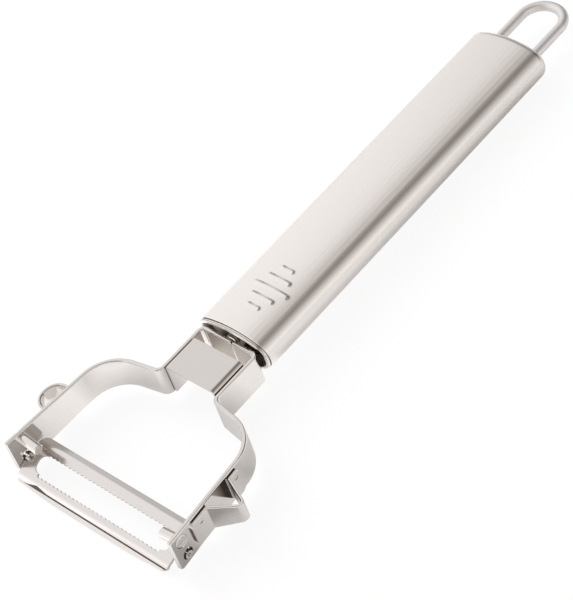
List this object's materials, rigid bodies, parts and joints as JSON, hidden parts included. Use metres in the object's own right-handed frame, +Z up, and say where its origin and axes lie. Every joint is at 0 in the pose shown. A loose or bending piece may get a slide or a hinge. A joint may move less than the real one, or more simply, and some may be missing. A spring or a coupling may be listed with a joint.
{
  "type": "vegetable peeler",
  "caption": "Y-shaped vegetable peeler with an oval steel handle, strip-steel arms, a swinging slotted blade, eye removers on the arms and a hanging loop.",
  "frame": {"origin": "middle of the part's box across and along, at the height of its lowest point, the blade's front lip", "axes": "+Y along the handle from the blade to the hanging loop, +Z up through the flat of the handle, +X to the right arm, the one with the pointed eye remover"},
  "size_m": [0.0768, 0.2194, 0.0184],
  "materials": {
    "satin_steel": "satin",
    "polished_steel": "polished",
    "polished_wire": "polished",
    "blade_steel": "fine satin"
  },
  "bodies": {
    "frame": {"handle_tube": "satin_steel", "front_cap": "satin_steel", "neck_stud": "polished_steel", "neck_collar": "polished_steel", "rear_cap": "satin_steel", "hanging_loop": "polished_wire", "left_arm": "polished_steel", "right_arm": "polished_steel", "neck_clip": "polished_steel", "left_eye_loop": "polished_steel", "right_eye_loop": "polished_steel", "left_stop_post": "polished_steel", "right_stop_post": "polished_steel"},
    "swing_blade": {"blade": "blade_steel"}
  },
  "joints": [
    {"name": "blade_swing", "type": "hinge", "parent": "frame", "child": "swing_blade", "pos_m": [-0.00149, -0.10268, 0.00522], "axis": [1, 0, 0], "range_deg": [-87, 48]}
  ]
}
